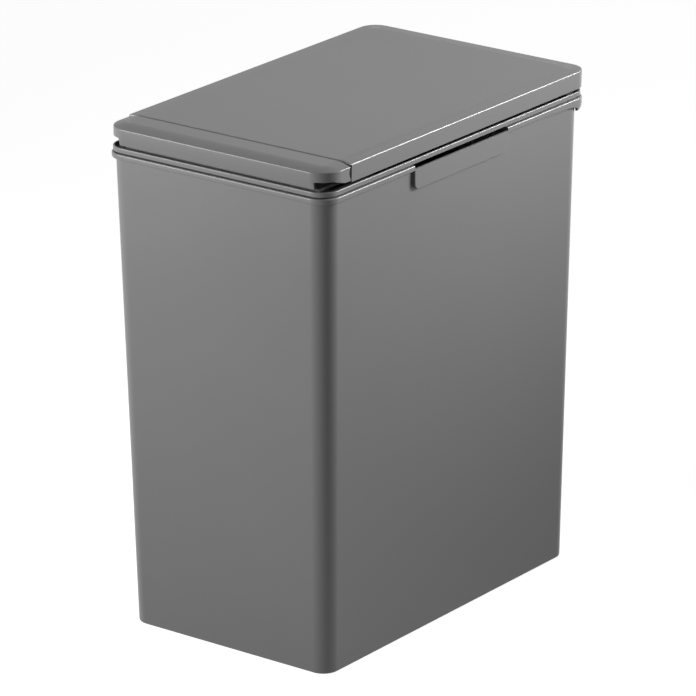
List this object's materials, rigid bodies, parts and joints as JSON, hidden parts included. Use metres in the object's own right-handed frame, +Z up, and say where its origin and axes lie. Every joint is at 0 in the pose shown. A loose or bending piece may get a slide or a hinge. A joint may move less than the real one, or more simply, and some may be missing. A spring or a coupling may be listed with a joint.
{
  "type": "sensor trash can",
  "caption": "Tall rectangular plastic waste bin with a lift-off upper frame, a motor-driven hinged lid, a sensor window and finger grips.",
  "frame": {"origin": "centre of the base, on the surface that the bin stands on", "axes": "+Z up, -Y towards the sensor end where the user stands, +X to the right"},
  "size_m": [0.177, 0.2812, 0.3386],
  "materials": {
    "grey_plastic": "fine moulded satin",
    "dark_plastic": "fine moulded matte",
    "white_plastic": "smooth acetal",
    "window_plastic": "gloss, dark smoke",
    "board_green": "lacquered board",
    "bright_steel": "zinc plated",
    "battery_wrap": "shrink wrap",
    "soft_rubber": "soft matte"
  },
  "bodies": {
    "bucket": {"bucket": "grey_plastic", "foot_pad_1": "soft_rubber", "foot_pad_2": "soft_rubber", "foot_pad_3": "soft_rubber", "foot_pad_4": "soft_rubber"},
    "upper_frame": {"lid_frame": "grey_plastic", "drive_tray": "dark_plastic", "rear_cover": "grey_plastic", "hinge_pin_left": "bright_steel", "hinge_pin_right": "bright_steel", "gearbox_case": "white_plastic", "gear_motor": "bright_steel", "shaft_bush": "white_plastic", "control_board": "board_green", "switch_body": "dark_plastic", "battery_case": "dark_plastic", "battery_cell_1": "battery_wrap", "battery_cell_2": "battery_wrap", "battery_cell_3": "battery_wrap", "battery_cell_4": "battery_wrap", "contact_plate_left": "bright_steel", "contact_plate_right": "bright_steel", "contact_spring_1": "bright_steel", "contact_spring_2": "bright_steel", "contact_spring_3": "bright_steel", "contact_spring_4": "bright_steel", "cover_screw_left": "bright_steel", "cover_screw_right": "bright_steel", "tray_screw_1": "bright_steel", "tray_screw_2": "bright_steel", "tray_screw_3": "bright_steel", "tray_screw_4": "bright_steel", "lid_bumper_left": "soft_rubber", "lid_bumper_right": "soft_rubber"},
    "lid": {"lid_shell": "grey_plastic", "lid_liner": "grey_plastic", "sensor_window": "window_plastic", "sensor_board": "board_green", "infrared_emitter": "window_plastic", "infrared_receiver": "window_plastic", "sensor_lead": "dark_plastic", "sector_gear": "white_plastic", "liner_screw_1": "bright_steel", "liner_screw_2": "bright_steel", "liner_screw_3": "bright_steel", "liner_screw_4": "bright_steel"},
    "drive_pinion": {"drive_pinion": "white_plastic"},
    "battery_door": {"battery_door": "dark_plastic"},
    "power_switch": {"power_switch": "white_plastic"}
  },
  "joints": [
    {"name": "frame_lift", "type": "slide", "parent": "bucket", "child": "upper_frame", "axis": [0, 0, 1], "range_m": [0, 0.06]},
    {"name": "lid_hinge", "type": "hinge", "parent": "upper_frame", "child": "lid", "pos_m": [0, 0.1091, 0.3324], "axis": [-1, 0, 0], "range_deg": [0, 85]},
    {"name": "pinion_spin", "type": "hinge", "parent": "upper_frame", "child": "drive_pinion", "pos_m": [0, 0.09694, 0.31503], "axis": [-1, 0, 0], "range_deg": [-273, 0]},
    {"name": "battery_door_slide", "type": "slide", "parent": "upper_frame", "child": "battery_door", "axis": [1, 0, 0], "range_m": [0, 0.054]},
    {"name": "power_switch_slide", "type": "slide", "parent": "upper_frame", "child": "power_switch", "axis": [1, 0, 0], "range_m": [0, 0.003]}
  ],
  "couplings": [
    {"joint": "pinion_spin", "follows": "lid_hinge", "ratio": -3.2}
  ]
}
